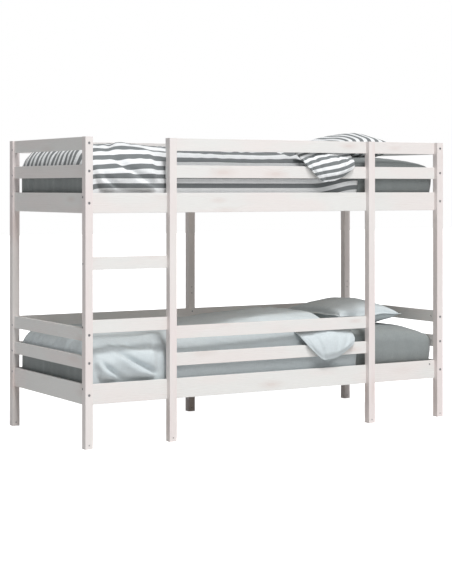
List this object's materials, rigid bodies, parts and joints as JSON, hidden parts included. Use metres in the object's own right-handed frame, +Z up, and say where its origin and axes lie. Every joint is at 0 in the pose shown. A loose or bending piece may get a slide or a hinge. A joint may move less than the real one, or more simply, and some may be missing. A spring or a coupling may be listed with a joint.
{
  "type": "bunk bed with ladder",
  "caption": "Single-over-single wooden bunk bed with guard rails, a ladder built into one end of the front, slats, mattresses, duvets and pillows",
  "frame": {"origin": "on the floor, under the middle of the bed's length and width", "axes": "+X along the length, away from the ladder end; +Y from the front, where the ladder is, to the rear; +Z up"},
  "size_m": [2.056, 0.886, 1.4865],
  "materials": {
    "washed_pine": "white-washed, satin, planed with small rounded edges",
    "raw_pine": "unfinished planed pine",
    "beech": "unfinished fluted dowel, modelled plain",
    "steel": "dull zinc-plated",
    "sheet": "plain grey fitted sheet, slightly brushed",
    "striped_cotton": "woven cotton, white with even grey stripes",
    "plain_cotton": "plain pale grey woven cotton"
  },
  "bodies": {
    "bed": {"barrel_nuts": "steel", "dowels": "beech", "duvet_lower": "plain_cotton", "duvet_upper": "striped_cotton", "end_rail_lower_left": "washed_pine", "end_rail_lower_right": "washed_pine", "end_rail_upper_left": "washed_pine", "end_rail_upper_right": "washed_pine", "frame_screws": "steel", "joint_bolts": "steel", "ledger_lower_front": "raw_pine", "ledger_lower_rear": "raw_pine", "ledger_screws": "steel", "ledger_upper_front": "raw_pine", "ledger_upper_rear": "raw_pine", "mattress_lower": "sheet", "mattress_upper": "sheet", "mid_guard_lower_front": "washed_pine", "mid_guard_lower_left": "washed_pine", "mid_guard_lower_rear": "washed_pine", "mid_guard_lower_right": "washed_pine", "mid_guard_upper_front": "washed_pine", "mid_guard_upper_left": "washed_pine", "mid_guard_upper_rear": "washed_pine", "mid_guard_upper_right": "washed_pine", "post_front_entry": "washed_pine", "post_front_ladder": "washed_pine", "post_front_left": "washed_pine", "post_front_right": "washed_pine", "post_rear_left": "washed_pine", "post_rear_middle": "washed_pine", "post_rear_right": "washed_pine", "post_screws": "steel", "rung_high": "washed_pine", "rung_low": "washed_pine", "side_rail_lower_front": "washed_pine", "side_rail_lower_rear": "washed_pine", "side_rail_upper_front": "washed_pine", "side_rail_upper_rear": "washed_pine", "slat_screws": "steel", "slats_lower": "raw_pine", "slats_upper": "raw_pine", "top_guard_lower_front": "washed_pine", "top_guard_lower_left": "washed_pine", "top_guard_lower_rear": "washed_pine", "top_guard_lower_right": "washed_pine", "top_guard_upper_front": "washed_pine", "top_guard_upper_left": "washed_pine", "top_guard_upper_rear": "washed_pine", "top_guard_upper_right": "washed_pine"},
    "loose_pillow_lower": {"pillow_lower": "plain_cotton"},
    "loose_pillow_upper": {"pillow_upper": "striped_cotton"}
  },
  "joints": [
    {"name": "pillow_lower_lift", "type": "slide", "parent": "bed", "child": "loose_pillow_lower", "axis": [0, 0, 1], "range_m": [0, 0.3]},
    {"name": "pillow_upper_lift", "type": "slide", "parent": "bed", "child": "loose_pillow_upper", "axis": [0, 0, 1], "range_m": [0, 0.3]}
  ]
}
